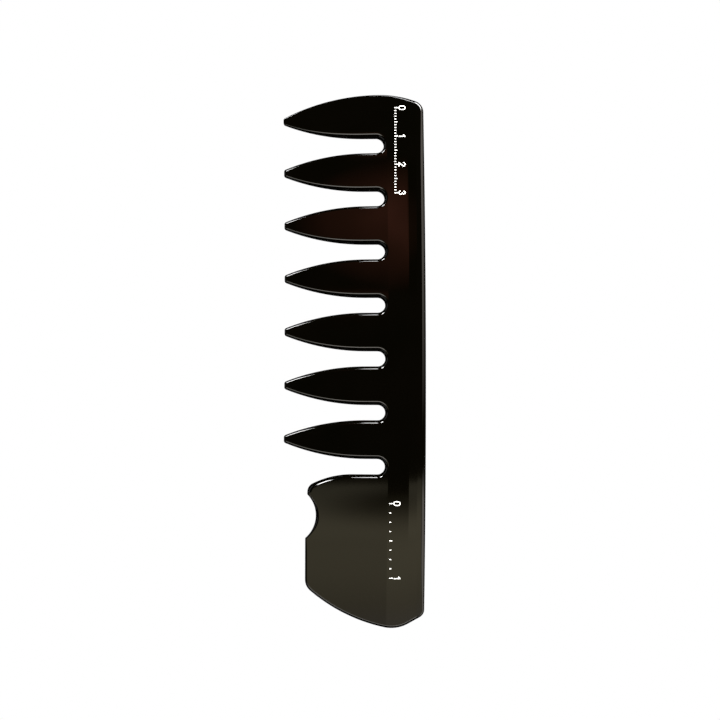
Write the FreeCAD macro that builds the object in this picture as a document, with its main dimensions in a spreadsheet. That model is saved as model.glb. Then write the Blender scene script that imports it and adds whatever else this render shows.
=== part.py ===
"""Wide-tooth rake comb: one moulding and two ink prints on its spine.

Frame: +X from the tooth tips to the back, +Y from the handle to the toothed end, +Z out of the printed face.
The origin is under the middle of the moulding, on the plane that it lies on. Millimetres and degrees.
"""
import FreeCAD, Part
import Sketcher
import math
import os

DIMENSIONS = [
    # the whole comb
    ("overall_length", 184.6, "crown to toe, along Y"),
    ("comb_width", 49.0, "tooth tips to back, square to the bow"),
    ("bow_radius", 4900.0, "radius of the back, whose centre is on the tooth side"),
    ("spine_thickness", 4.2, "thickness of the flat land on the spine"),
    # the cross-section, each place measured in from the back
    ("tip_thickness", 2.0, "thickness at the line of the tooth tips"),
    ("land_start", 13.0, "where the tooth side taper begins"),
    ("land_end", 5.95, "where the back bevel begins"),
    ("bevel_end", 3.2, "where the back bevel steepens"),
    ("bevel_drop", 0.15, "how far each face has fallen where the bevel steepens"),
    ("back_drop", 0.6, "how far each face has fallen at the back, before its edges are rounded"),
    # teeth and slots
    ("slot_count", 7, "slots, the one above the handle among them"),
    ("tooth_pitch", 18.7, "slot to slot, along the back"),
    ("slot_width", 5.3, "width of the straight part of a slot"),
    ("spine_width", 14.1, "slot root to back"),
    ("flank_length", 4.3, "straight part of a slot, from the centre of its root"),
    ("tip_width", 2.4, "width of a tooth at the line of the tips, before its corners are rounded"),
    ("tip_corner_radius", 0.9, "corners of a tooth tip, seen from above"),
    ("first_slot_drop", 17.6, "crown to the middle of the first slot"),
    # the crown, at the toothed end
    ("crown_setback", 15.9, "back to the highest point of the crown"),
    ("crown_tip_rise", 0.8, "middle of the first tooth's tip to the crown arc, on the tooth side"),
    ("shoulder_radius", 38.0, "crown arc, on the back side"),
    ("crown_corner_radius", 4.0, "corner between crown and back"),
    # the toe, at the handle end
    ("toe_setback", 12.1, "back to the lowest point of the toe"),
    ("toe_radius", 12.0, "arc at the lowest point"),
    ("tail_angle", 28.7, "slope from the toe up to the back"),
    ("tail_corner_radius", 3.0, "corner between tail and back"),
    ("belly_radius", 58.0, "long arc from the toe to the heel"),
    ("belly_angle", 12.0, "slope where the long arc leaves the toe arc"),
    ("heel_radius", 5.0, "corner between the long arc and the handle's edge"),
    # the handle
    ("handle_width", 41.6, "handle's edge to back"),
    ("shoulder_run", 25.3, "back to where the handle's upper edge starts to curve down"),
    ("brow_radius", 30.0, "handle's upper edge, where it curves down"),
    ("beak_radius", 3.2, "nose of the handle above the notch"),
    ("beak_reach", 40.7, "nose of the handle to back"),
    ("notch_radius", 10.15, "finger notch"),
    ("notch_reach", 47.85, "centre of the notch to back"),
    ("notch_drop", 16.9, "last slot to the centre of the notch"),
    ("notch_corner_radius", 0.6, "both ends of the notch, seen from above"),
    # rounding
    ("edge_radius", 0.8, "all edges around the faces"),
    # prints
    ("ink_thickness", 0.05, "height of the ink film"),
    ("ink_stroke", 0.3, "width of every printed line"),
    ("numeral_height", 2.1, "height of the printed numerals"),
    ("numeral_width", 1.25, "width of the printed numerals"),
    ("tick_long", 1.2, "tick at a numeral"),
    ("tick_middle", 0.95, "tick half way between two numerals"),
    ("tick_short", 0.6, "every other tick"),
    ("numeral_gap", 0.35, "long tick to numeral"),
    ("cm_print_setback", 10.9, "back to the base line of the centimetre scale"),
    ("cm_print_drop", 4.6, "crown to the zero of the centimetre scale"),
    ("inch_print_setback", 12.7, "back to the base line of the inch scale"),
    ("inch_print_drop", 12.5, "last slot to the zero of the inch scale"),
]

CENTIMETRE = 10.0
INCH = 25.4
OVERRUN = 2.0  # how far a cut runs past what it cuts

# the arc that leaves a slot's straight part and reaches the tooth tip's width at the line of the tips
FLANK_RUN = ("(Dimensions.comb_width - Dimensions.spine_width - Dimensions.slot_width / 2"
             " - Dimensions.flank_length)")
FLANK_RISE = ("((Dimensions.tooth_pitch * (1 - Dimensions.comb_width / Dimensions.bow_radius)"
              " - Dimensions.tip_width - Dimensions.slot_width) / 2)")
FLANK_RADIUS = f"({FLANK_RUN} ^ 2 + {FLANK_RISE} ^ 2) / (2 * {FLANK_RISE})"

# the crown arc, level at its highest point, that comes down to the first tooth's tip
TIP_RADIUS = "(Dimensions.bow_radius - Dimensions.comb_width)"
FIRST_TOOTH = ("((Dimensions.overall_length / 2 - Dimensions.first_slot_drop + Dimensions.tooth_pitch / 2)"
               " / Dimensions.bow_radius * 1 rad)")
CROWN_RUN = f"(Dimensions.bow_radius - {TIP_RADIUS} * cos({FIRST_TOOTH}) - Dimensions.crown_setback)"
CROWN_DROP = (f"(Dimensions.overall_length / 2 - {TIP_RADIUS} * sin({FIRST_TOOTH})"
              " - Dimensions.crown_tip_rise)")
CROWN_RADIUS = f"({CROWN_RUN} ^ 2 + {CROWN_DROP} ^ 2) / (2 * {CROWN_DROP})"

FACE_UP = FreeCAD.Vector(0, 0, 1)
START, END, CENTRE = 1, 2, 3  # the points of a sketch edge
ORIGIN = (-1, 1)  # the root point of a sketch


# ---------------------------------------------------------------- sheet and sketch helpers

def make_sheet(doc):
    """The driving dimensions, one named cell to a row."""
    sheet = doc.addObject("Spreadsheet::Sheet", "Dimensions")
    for row, (alias, value, note) in enumerate(DIMENSIONS, start=1):
        sheet.set(f"A{row}", alias)
        sheet.set(f"B{row}", str(value))
        sheet.set(f"C{row}", note)
        sheet.setAlias(f"B{row}", alias)
    doc.recompute()
    return sheet


def plane(body, role):
    return next(item for item in body.Origin.OriginFeatures if item.Role == role)


def add_sketch(body, name, role="XY_Plane"):
    sketch = body.newObject("Sketcher::SketchObject", name)
    sketch.AttachmentSupport = [(plane(body, role), "")]
    sketch.MapMode = "FlatFace"
    return sketch


def line(sketch, first, second):
    ends = [FreeCAD.Vector(x, y, 0) for x, y in (first, second)]
    return sketch.addGeometry(Part.LineSegment(*ends), False)


def arc(sketch, centre, radius, first, second):
    """An arc about centre from first to second, counter-clockwise."""
    angles = [math.atan2(y - centre[1], x - centre[0]) for x, y in (first, second)]
    circle = Part.Circle(FreeCAD.Vector(centre[0], centre[1], 0), FACE_UP, radius)
    return sketch.addGeometry(Part.ArcOfCircle(circle, *angles), False)


def join(sketch, one, other, smooth=False):
    """Ties an end of one edge to an end of another, as a corner or tangent to it."""
    sketch.addConstraint(Sketcher.Constraint("Tangent" if smooth else "Coincident", *one, *other))


def value_of(owner, formula):
    """A formula over the sheet's cells as a plain number."""
    result = owner.evalExpression(formula)
    return getattr(result, "Value", result)


def bind(sketch, name, kind, where, formula):
    """Adds a dimension and binds it to cells of the sheet."""
    value = value_of(sketch, formula)
    if kind == "Angle":
        value = math.radians(value)
    index = sketch.addConstraint(Sketcher.Constraint(kind, *where, value))
    sketch.renameConstraint(index, name)
    sketch.setExpression(f"Constraints.{name}", formula)


def point_on_circle(centre, radius, towards):
    """Where the line from a circle's centre towards a point leaves the circle."""
    dx = towards[0] - centre[0]
    dy = towards[1] - centre[1]
    share = radius / math.hypot(dx, dy)
    return centre[0] + dx * share, centre[1] + dy * share


def circles_meet(first, first_radius, second, second_radius, side):
    """The meeting point of two circles, on the left (+1) or right (-1) of the line of centres."""
    dx = second[0] - first[0]
    dy = second[1] - first[1]
    gap = math.hypot(dx, dy)
    along = (first_radius ** 2 - second_radius ** 2 + gap ** 2) / (2 * gap)
    across = side * math.sqrt(first_radius ** 2 - along ** 2)
    return (first[0] + (along * dx - across * dy) / gap, first[1] + (along * dy + across * dx) / gap)


# ---------------------------------------------------------------- the moulding

def draw_section(sheet, sketch):
    """The cross-section square to the spine, mirrored about mid-thickness; x = 0 is the back."""
    taper = "(Dimensions.spine_thickness - Dimensions.tip_thickness) / 2"
    run = "(Dimensions.comb_width - Dimensions.land_start)"
    stations = [
        ("tips", f"Dimensions.comb_width + {OVERRUN}",
         f"Dimensions.tip_thickness / 2 - {taper} * {OVERRUN} / {run}"),
        ("taper", "Dimensions.land_start", "Dimensions.spine_thickness / 2"),
        ("land", "Dimensions.land_end", "Dimensions.spine_thickness / 2"),
        ("bevel", "Dimensions.bevel_end", "Dimensions.spine_thickness / 2 - Dimensions.bevel_drop"),
        ("back", "0", "Dimensions.spine_thickness / 2 - Dimensions.back_drop"),
    ]
    slope = (sheet.spine_thickness - sheet.tip_thickness) / 2 / (sheet.comb_width - sheet.land_start)
    places = [
        (-sheet.comb_width - OVERRUN, sheet.tip_thickness / 2 - slope * OVERRUN),
        (-sheet.land_start, sheet.spine_thickness / 2),
        (-sheet.land_end, sheet.spine_thickness / 2),
        (-sheet.bevel_end, sheet.spine_thickness / 2 - sheet.bevel_drop),
        (0.0, sheet.spine_thickness / 2 - sheet.back_drop),
    ]
    ring = places + [(x, -z) for x, z in reversed(places)]
    edges = [line(sketch, ring[i], ring[(i + 1) % len(ring)]) for i in range(len(ring))]
    for i, edge in enumerate(edges):
        join(sketch, (edge, END), (edges[(i + 1) % len(edges)], START))
    for i, (name, setback, half) in enumerate(stations):
        x, z = places[i]
        mirror = len(ring) - 1 - i
        if name == "back":
            sketch.addConstraint(Sketcher.Constraint("PointOnObject", edges[i], START, -2))
        else:
            bind(sketch, f"{name}_setback", "DistanceX", (edges[i], START, *ORIGIN), setback)
        bind(sketch, f"{name}_half", "DistanceY", (*ORIGIN, edges[i], START), half)
        sketch.addConstraint(Sketcher.Constraint("Symmetric", edges[i], START, edges[mirror], START, -1))


def draw_outline(sheet, sketch):
    """The comb seen from above without its slots, inside a frame: what lies between is cut away."""
    bow_centre = (-sheet.bow_radius, 0.0)
    tip_line = sheet.bow_radius - sheet.comb_width
    half_length = sheet.overall_length / 2

    # the crown, from the tooth side to the back
    apex = (-sheet.crown_setback, half_length)
    crown_radius = value_of(sketch, CROWN_RADIUS)
    crown_centre = (apex[0], half_length - crown_radius)
    shoulder_centre = (apex[0], half_length - sheet.shoulder_radius)
    first_tip = circles_meet(bow_centre, tip_line, crown_centre, crown_radius, 1)
    crown_corner = circles_meet(bow_centre, sheet.bow_radius - sheet.crown_corner_radius,
                                shoulder_centre, sheet.shoulder_radius - sheet.crown_corner_radius, 1)
    shoulder_end = point_on_circle(shoulder_centre, sheet.shoulder_radius, crown_corner)
    back_top = point_on_circle(bow_centre, sheet.bow_radius, crown_corner)

    # the toe, from the back to the handle's edge
    toe_centre = (-sheet.toe_setback, sheet.toe_radius - half_length)
    tail = math.radians(sheet.tail_angle)
    tail_start = (toe_centre[0] + sheet.toe_radius * math.sin(tail),
                  toe_centre[1] - sheet.toe_radius * math.cos(tail))
    inset = sheet.tail_corner_radius
    along = (math.cos(tail), math.sin(tail))
    start = (tail_start[0] - inset * along[1], tail_start[1] + inset * along[0])
    reach = sheet.bow_radius - inset
    from_bow = (start[0] - bow_centre[0], start[1])
    lean = from_bow[0] * along[0] + from_bow[1] * along[1]
    distance = -lean + math.sqrt(lean ** 2 - math.hypot(*from_bow) ** 2 + reach ** 2)
    tail_corner = (start[0] + distance * along[0], start[1] + distance * along[1])
    tail_end = (tail_corner[0] + inset * along[1], tail_corner[1] - inset * along[0])
    back_bottom = point_on_circle(bow_centre, sheet.bow_radius, tail_corner)
    belly = math.radians(sheet.belly_angle)
    belly_offset = sheet.belly_radius - sheet.toe_radius
    belly_centre = (toe_centre[0] + belly_offset * math.sin(belly),
                    toe_centre[1] + belly_offset * math.cos(belly))
    belly_start = point_on_circle(belly_centre, sheet.belly_radius, toe_centre)
    heel_x = sheet.heel_radius - sheet.handle_width
    heel_drop = math.sqrt((sheet.belly_radius - sheet.heel_radius) ** 2 - (belly_centre[0] - heel_x) ** 2)
    heel_centre = (heel_x, belly_centre[1] - heel_drop)
    belly_end = point_on_circle(belly_centre, sheet.belly_radius, heel_centre)
    heel_end = (-sheet.handle_width, heel_centre[1])

    # the step from the line of the tips in to the handle's edge, at the middle of the notch
    last_slot = half_length - sheet.first_slot_drop - (sheet.slot_count - 1) * sheet.tooth_pitch
    step_y = last_slot - sheet.notch_drop
    step_outer = (bow_centre[0] + math.sqrt(tip_line ** 2 - step_y ** 2), step_y)
    step_inner = (-sheet.handle_width, step_y)

    back = arc(sketch, bow_centre, sheet.bow_radius, back_bottom, back_top)
    corner = arc(sketch, crown_corner, sheet.crown_corner_radius, back_top, shoulder_end)
    shoulder = arc(sketch, shoulder_centre, sheet.shoulder_radius, shoulder_end, apex)
    crown = arc(sketch, crown_centre, crown_radius, apex, first_tip)
    tips = arc(sketch, bow_centre, tip_line, step_outer, first_tip)
    step = line(sketch, step_outer, step_inner)
    edge = line(sketch, step_inner, heel_end)
    heel = arc(sketch, heel_centre, sheet.heel_radius, heel_end, belly_end)
    belly_arc = arc(sketch, belly_centre, sheet.belly_radius, belly_end, belly_start)
    toe = arc(sketch, toe_centre, sheet.toe_radius, belly_start, tail_start)
    slope = line(sketch, tail_start, tail_end)
    tail_arc = arc(sketch, tail_corner, inset, tail_end, back_bottom)

    for one, other in (((back, END), (corner, START)), ((corner, END), (shoulder, START)),
                       ((shoulder, END), (crown, START)), ((edge, END), (heel, START)),
                       ((heel, END), (belly_arc, START)), ((belly_arc, END), (toe, START)),
                       ((toe, END), (slope, START)), ((slope, END), (tail_arc, START)),
                       ((tail_arc, END), (back, START))):
        join(sketch, one, other, smooth=True)
    join(sketch, (crown, END), (tips, END))
    join(sketch, (tips, START), (step, START))
    join(sketch, (step, END), (edge, START))

    sketch.addConstraint(Sketcher.Constraint("PointOnObject", back, CENTRE, -1))
    sketch.addConstraint(Sketcher.Constraint("Coincident", back, CENTRE, tips, CENTRE))
    bind(sketch, "bow_place", "DistanceX", (back, CENTRE, *ORIGIN), "Dimensions.bow_radius")
    bind(sketch, "bow", "Radius", (back,), "Dimensions.bow_radius")
    bind(sketch, "tip_line", "Radius", (tips,), "Dimensions.bow_radius - Dimensions.comb_width")
    for name, item, radius in (("crown_corner", corner, "crown_corner_radius"),
                               ("shoulder", shoulder, "shoulder_radius"), ("heel", heel, "heel_radius"),
                               ("belly", belly_arc, "belly_radius"), ("toe", toe, "toe_radius"),
                               ("tail_corner", tail_arc, "tail_corner_radius")):
        bind(sketch, name, "Radius", (item,), f"Dimensions.{radius}")
    bind(sketch, "crown", "Radius", (crown,), CROWN_RADIUS)
    sketch.addConstraint(Sketcher.Constraint("Vertical", crown, CENTRE, crown, START))
    bind(sketch, "apex_x", "DistanceX", (crown, START, *ORIGIN), "Dimensions.crown_setback")
    bind(sketch, "apex_y", "DistanceY", (*ORIGIN, crown, START), "Dimensions.overall_length / 2")
    bind(sketch, "toe_x", "DistanceX", (toe, CENTRE, *ORIGIN), "Dimensions.toe_setback")
    bind(sketch, "toe_y", "DistanceY", (toe, CENTRE, *ORIGIN),
         "Dimensions.overall_length / 2 - Dimensions.toe_radius")
    bind(sketch, "tail_slope", "Angle", (-1, START, slope, START), "Dimensions.tail_angle * 1 deg")
    bind(sketch, "belly_slope", "DistanceX", (toe, CENTRE, belly_arc, CENTRE),
         "(Dimensions.belly_radius - Dimensions.toe_radius) * sin(Dimensions.belly_angle * 1 deg)")
    sketch.addConstraint(Sketcher.Constraint("Vertical", edge))
    sketch.addConstraint(Sketcher.Constraint("Horizontal", step))
    bind(sketch, "edge_x", "DistanceX", (edge, START, *ORIGIN), "Dimensions.handle_width")
    bind(sketch, "step_y", "DistanceY", (step, START, *ORIGIN),
         "Dimensions.notch_drop + (Dimensions.slot_count - 1) * Dimensions.tooth_pitch"
         " + Dimensions.first_slot_drop - Dimensions.overall_length / 2")

    # the frame around it, which the cut runs out to
    left = -2 * sheet.comb_width
    right = sheet.comb_width / 2
    far = half_length + sheet.comb_width / 2
    corners = [(left, -far), (right, -far), (right, far), (left, far)]
    sides = [line(sketch, corners[i], corners[(i + 1) % 4]) for i in range(4)]
    for i, side in enumerate(sides):
        join(sketch, (side, END), (sides[(i + 1) % 4], START))
        sketch.addConstraint(Sketcher.Constraint("Horizontal" if i % 2 == 0 else "Vertical", side))
    bind(sketch, "frame_left", "DistanceX", (sides[0], START, *ORIGIN), "Dimensions.comb_width * 2")
    bind(sketch, "frame_right", "DistanceX", (*ORIGIN, sides[1], START), "Dimensions.comb_width / 2")
    reach_formula = "Dimensions.overall_length / 2 + Dimensions.comb_width / 2"
    bind(sketch, "frame_low", "DistanceY", (sides[0], START, *ORIGIN), reach_formula)
    bind(sketch, "frame_high", "DistanceY", (*ORIGIN, sides[2], START), reach_formula)


def draw_flank(sheet, sketch, side, name):
    """One side of a slot: straight from the root, then curved away towards the tooth tips."""
    half = sheet.slot_width / 2
    root_x = -sheet.spine_width - half
    curve_x = root_x - sheet.flank_length
    mouth_x = -sheet.comb_width - OVERRUN
    radius = value_of(sketch, FLANK_RADIUS)
    flare = radius - math.sqrt(radius ** 2 - (curve_x - mouth_x) ** 2)
    root = (root_x, side * half)
    bend = (curve_x, side * half)
    mouth = (mouth_x, side * (half + flare))
    straight = line(sketch, root, bend)
    centre = (curve_x, side * (half + radius))
    ends = (mouth, bend) if side > 0 else (bend, mouth)
    curve = arc(sketch, centre, radius, *ends)
    inner, outer = (END, START) if side > 0 else (START, END)
    join(sketch, (straight, END), (curve, inner), smooth=True)
    sketch.addConstraint(Sketcher.Constraint("Horizontal", straight))
    bind(sketch, f"{name}_length", "DistanceX", (straight, END, straight, START), "Dimensions.flank_length")
    bind(sketch, f"{name}_radius", "Radius", (curve,), FLANK_RADIUS)
    bind(sketch, f"{name}_mouth", "DistanceX", (curve, outer, *ORIGIN),
         f"Dimensions.comb_width + {OVERRUN}")
    return straight, curve, outer, mouth


def draw_root(sheet, sketch):
    """The half-round root of a slot, opening towards the tips; x = 0 is the back, y = 0 the slot's middle."""
    half = sheet.slot_width / 2
    centre = (-sheet.spine_width - half, 0.0)
    root = arc(sketch, centre, half, (centre[0], -half), (centre[0], half))
    sketch.addConstraint(Sketcher.Constraint("PointOnObject", root, CENTRE, -1))
    bind(sketch, "root", "Radius", (root,), "Dimensions.slot_width / 2")
    bind(sketch, "root_place", "DistanceX", (root, CENTRE, *ORIGIN),
         "Dimensions.spine_width + Dimensions.slot_width / 2")
    return root


def draw_slot(sheet, sketch):
    """The space between two teeth."""
    root = draw_root(sheet, sketch)
    upper, upper_curve, upper_end, upper_mouth = draw_flank(sheet, sketch, 1, "upper")
    lower, lower_curve, lower_end, lower_mouth = draw_flank(sheet, sketch, -1, "lower")
    join(sketch, (root, END), (upper, START), smooth=True)
    join(sketch, (root, START), (lower, START), smooth=True)
    mouth = line(sketch, upper_mouth, lower_mouth)
    join(sketch, (mouth, START), (upper_curve, upper_end))
    join(sketch, (mouth, END), (lower_curve, lower_end))


def draw_last_slot(sheet, sketch):
    """The space between the last tooth and the handle, down past the middle of the finger notch."""
    half = sheet.slot_width / 2
    brow_x = -sheet.shoulder_run
    brow_centre = (brow_x, -half - sheet.brow_radius)
    beak_x = sheet.beak_radius - sheet.beak_reach
    beak_rise = math.sqrt((sheet.brow_radius - sheet.beak_radius) ** 2 - (beak_x - brow_x) ** 2)
    beak_centre = (beak_x, brow_centre[1] + beak_rise)
    brow_start = (brow_x, -half)
    brow_end = point_on_circle(brow_centre, sheet.brow_radius, beak_centre)
    beak_end = (-sheet.beak_reach, beak_centre[1])
    left = -sheet.comb_width - OVERRUN

    root = draw_root(sheet, sketch)
    upper, upper_curve, upper_end, upper_mouth = draw_flank(sheet, sketch, 1, "upper")
    join(sketch, (root, END), (upper, START), smooth=True)
    lower = line(sketch, (-sheet.spine_width - half, -half), brow_start)
    brow = arc(sketch, brow_centre, sheet.brow_radius, brow_start, brow_end)
    beak = arc(sketch, beak_centre, sheet.beak_radius, brow_end, beak_end)
    floor_y = -sheet.notch_drop - sheet.notch_radius / 2
    nose = line(sketch, beak_end, (-sheet.beak_reach, floor_y))
    floor = line(sketch, (-sheet.beak_reach, floor_y), (left, floor_y))
    side = line(sketch, (left, floor_y), upper_mouth)
    join(sketch, (root, START), (lower, START), smooth=True)
    join(sketch, (lower, END), (brow, START), smooth=True)
    join(sketch, (brow, END), (beak, START), smooth=True)
    join(sketch, (beak, END), (nose, START), smooth=True)
    join(sketch, (nose, END), (floor, START))
    join(sketch, (floor, END), (side, START))
    join(sketch, (side, END), (upper_curve, upper_end))
    sketch.addConstraint(Sketcher.Constraint("Horizontal", lower))
    sketch.addConstraint(Sketcher.Constraint("Horizontal", floor))
    sketch.addConstraint(Sketcher.Constraint("Vertical", side))
    sketch.addConstraint(Sketcher.Constraint("Vertical", nose))
    bind(sketch, "brow_place", "DistanceX", (lower, END, *ORIGIN), "Dimensions.shoulder_run")
    bind(sketch, "brow", "Radius", (brow,), "Dimensions.brow_radius")
    bind(sketch, "beak", "Radius", (beak,), "Dimensions.beak_radius")
    bind(sketch, "beak_reach", "DistanceX", (nose, START, *ORIGIN), "Dimensions.beak_reach")
    bind(sketch, "floor_drop", "DistanceY", (floor, START, *ORIGIN),
         "Dimensions.notch_drop + Dimensions.notch_radius / 2")


def draw_notch(sheet, sketch):
    """The round finger notch, in the frame of the last slot."""
    centre = FreeCAD.Vector(-sheet.notch_reach, -sheet.notch_drop, 0)
    ring = sketch.addGeometry(Part.Circle(centre, FACE_UP, sheet.notch_radius), False)
    bind(sketch, "notch", "Radius", (ring,), "Dimensions.notch_radius")
    bind(sketch, "reach", "DistanceX", (ring, CENTRE, *ORIGIN), "Dimensions.notch_reach")
    bind(sketch, "drop", "DistanceY", (ring, CENTRE, *ORIGIN), "Dimensions.notch_drop")


def turn_to_slot(sketch, slots_down):
    """Stands a sketch on the back, square to the bow, at a slot counted down from the first."""
    rise = ("(Dimensions.overall_length / 2 - Dimensions.first_slot_drop"
            f" - ({slots_down}) * Dimensions.tooth_pitch)")
    turn = f"{rise} / Dimensions.bow_radius * 1 rad"
    sketch.setExpression("AttachmentOffset.Rotation.Angle", turn)
    sketch.setExpression("AttachmentOffset.Base.x", f"Dimensions.bow_radius * (cos({turn}) - 1) * 1 mm")
    sketch.setExpression("AttachmentOffset.Base.y", f"Dimensions.bow_radius * sin({turn}) * 1 mm")


def cut_through(doc, body, sketch, name):
    """A pocket through the whole thickness, which must take something away."""
    before = body.Shape.Volume
    pocket = body.newObject("PartDesign::Pocket", name)
    pocket.Profile = sketch
    pocket.SideType = "Symmetric"
    pocket.setExpression("Length", "Dimensions.spine_thickness * 2")
    doc.recompute()
    if not body.Shape.Volume < before:
        raise RuntimeError(f"{name} cuts nothing")
    return pocket


def is_upright(edge):
    first, last = edge.Vertexes[0].Point, edge.Vertexes[-1].Point
    return math.hypot(first.x - last.x, first.y - last.y) < 1e-4 and abs(first.z - last.z) > 0.1


def round_edges(doc, body, base, name, radius, wanted):
    """Rounds the edges of a feature that a test picks out."""
    chosen = [f"Edge{i}" for i, edge in enumerate(base.Shape.Edges, start=1) if wanted(edge)]
    if not chosen:
        raise RuntimeError(f"{name} finds no edges")
    fillet = body.newObject("PartDesign::Fillet", name)
    fillet.Base = (base, chosen)
    fillet.setExpression("Radius", f"Dimensions.{radius}")
    doc.recompute()
    return fillet


def make_comb(doc, sheet):
    """The moulding: a tapered bar, cut to its outline, slotted, notched and rounded."""
    body = doc.addObject("PartDesign::Body", "Comb")
    body.Label = "comb"

    section = add_sketch(body, "Section", "XZ_Plane")
    draw_section(sheet, section)
    bar = body.newObject("PartDesign::Pad", "Bar")
    bar.Profile = section
    bar.SideType = "Symmetric"
    bar.setExpression("Length", f"Dimensions.overall_length + {OVERRUN}")
    doc.recompute()

    outline = add_sketch(body, "Outline")
    draw_outline(sheet, outline)
    cut_through(doc, body, outline, "OutlineCut")

    slot = add_sketch(body, "Slot")
    turn_to_slot(slot, "0")
    draw_slot(sheet, slot)
    slot_cut = cut_through(doc, body, slot, "SlotCut")

    pivot = add_sketch(body, "BowCentre")
    pivot.setExpression("AttachmentOffset.Base.x", "-Dimensions.bow_radius * 1 mm")
    slots = body.newObject("PartDesign::PolarPattern", "Slots")
    slots.Originals = [slot_cut]
    slots.Axis = (pivot, ["N_Axis"])
    slots.Mode = "Spacing"
    slots.Reversed = True
    slots.setExpression("Offset", "Dimensions.tooth_pitch / Dimensions.bow_radius * 1 rad")
    slots.setExpression("Occurrences", "Dimensions.slot_count - 1")
    body.Tip = slots
    doc.recompute()

    last = add_sketch(body, "LastSlot")
    turn_to_slot(last, "Dimensions.slot_count - 1")
    draw_last_slot(sheet, last)
    cut_through(doc, body, last, "LastSlotCut")

    notch = add_sketch(body, "Notch")
    turn_to_slot(notch, "Dimensions.slot_count - 1")
    draw_notch(sheet, notch)
    notched = cut_through(doc, body, notch, "NotchCut")

    def at_tip(edge):
        place = edge.Vertexes[0].Point
        from_bow = math.hypot(place.x + sheet.bow_radius, place.y)
        return is_upright(edge) and abs(from_bow - sheet.bow_radius + sheet.comb_width) < 0.01

    turn = (sheet.overall_length / 2 - sheet.first_slot_drop
            - (sheet.slot_count - 1) * sheet.tooth_pitch) / sheet.bow_radius
    slot_x = sheet.bow_radius * (math.cos(turn) - 1)
    slot_y = sheet.bow_radius * math.sin(turn)
    notch_x = slot_x - sheet.notch_reach * math.cos(turn) + sheet.notch_drop * math.sin(turn)
    notch_y = slot_y - sheet.notch_reach * math.sin(turn) - sheet.notch_drop * math.cos(turn)

    def at_notch(edge):
        place = edge.Vertexes[0].Point
        from_notch = math.hypot(place.x - notch_x, place.y - notch_y)
        return is_upright(edge) and abs(from_notch - sheet.notch_radius) < 0.01

    tips = round_edges(doc, body, notched, "TipCorners", "tip_corner_radius", at_tip)
    corners = round_edges(doc, body, tips, "NotchCorners", "notch_corner_radius", at_notch)

    def is_rim(edge):
        """An edge between the wall around the comb and one of its two faces."""
        walls = [face for face in corners.Shape.ancestorsOfType(edge, Part.Face)
                 if abs(face.normalAt(*middle_of(face)).z) < 0.01]
        return len(walls) == 1

    def middle_of(face):
        low_u, high_u, low_v, high_v = face.ParameterRange
        return (low_u + high_u) / 2, (low_v + high_v) / 2

    round_edges(doc, body, corners, "Rims", "edge_radius", is_rim)
    return body


# ---------------------------------------------------------------- the prints

def stroke(chain, width):
    """A printed line of one width along a chain of edges and pairs of points, as a flat face."""
    edges = [item if isinstance(item, Part.Edge) else Part.LineSegment(*item).toShape() for item in chain]
    return Part.Wire(edges).makeOffset2D(width / 2, 0, True, False)


def three_point_arc(first, middle, last):
    return Part.Arc(first, middle, last).toShape()


def numeral(digit, tall, wide):
    """The centre line of a plain numeral, standing on the origin and centred on it, as chains of edges."""
    def at(x, y):
        return FreeCAD.Vector(x * wide, y * tall, 0)

    if digit == 0:
        return [[three_point_arc(at(0.5, 0.7), at(0, 1), at(-0.5, 0.7)), (at(-0.5, 0.7), at(-0.5, 0.3))],
                [three_point_arc(at(-0.5, 0.3), at(0, 0), at(0.5, 0.3)), (at(0.5, 0.3), at(0.5, 0.7))]]
    if digit == 1:
        return [[(at(-0.35, 0.75), at(0.1, 1)), (at(0.1, 1), at(0.1, 0))]]
    if digit == 2:
        return [[three_point_arc(at(-0.5, 0.72), at(0, 1), at(0.5, 0.7)), (at(0.5, 0.7), at(-0.5, 0)),
                 (at(-0.5, 0), at(0.5, 0))]]
    return [[three_point_arc(at(-0.45, 0.8), at(0.1, 1), at(0, 0.54))],
            [three_point_arc(at(0, 0.54), at(0.15, 0.0), at(-0.5, 0.2))]]


def ink(outline, sheet):
    """A closed outline as ink film, standing on z = 0."""
    return Part.Face(outline.Wires[0]).extrude(FreeCAD.Vector(0, 0, sheet.ink_thickness))


def make_scale(doc, sheet, label, unit, units, steps):
    """A printed scale along +X with a tick at every step and a numeral at every whole unit."""
    solids = []
    for step in range(units * steps + 1):
        if step % steps == 0:
            reach = sheet.tick_long
        elif 2 * step % steps == 0:
            reach = sheet.tick_middle
        else:
            reach = sheet.tick_short
        corner = FreeCAD.Vector(step * unit / steps - sheet.ink_stroke / 2, 0, 0)
        solids.append(Part.makeBox(sheet.ink_stroke, reach, sheet.ink_thickness, corner))
    for number in range(units + 1):
        foot = FreeCAD.Vector(number * unit, sheet.tick_long + sheet.numeral_gap, 0)
        chains = numeral(number, sheet.numeral_height, sheet.numeral_width)
        film, *others = [ink(stroke(chain, sheet.ink_stroke), sheet) for chain in chains]
        if others:
            film = film.fuse(others).removeSplitter().Solids[0]
        film.translate(foot)
        solids.append(film)
    feature = doc.addObject("Part::Feature", label)
    feature.Label = label
    feature.Shape = Part.Compound(solids)
    return feature


def lay_on_land(feature, zero_x, zero_y, lift):
    """Turns a scale to run down the spine from its zero, on the printed face."""
    down = FreeCAD.Rotation(FACE_UP, -90)
    feature.Placement = FreeCAD.Placement(FreeCAD.Vector(zero_x, zero_y, lift), down)


# ---------------------------------------------------------------- the whole

def check(doc, parts):
    for item in doc.Objects:
        if {"Invalid", "Error"} & set(item.State):
            raise RuntimeError(f"{item.Label} failed: {item.State}")
    for part in parts:
        if part.Shape.isNull() or not part.Shape.isValid():
            raise RuntimeError(f"{part.Label} has no valid shape")


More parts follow.
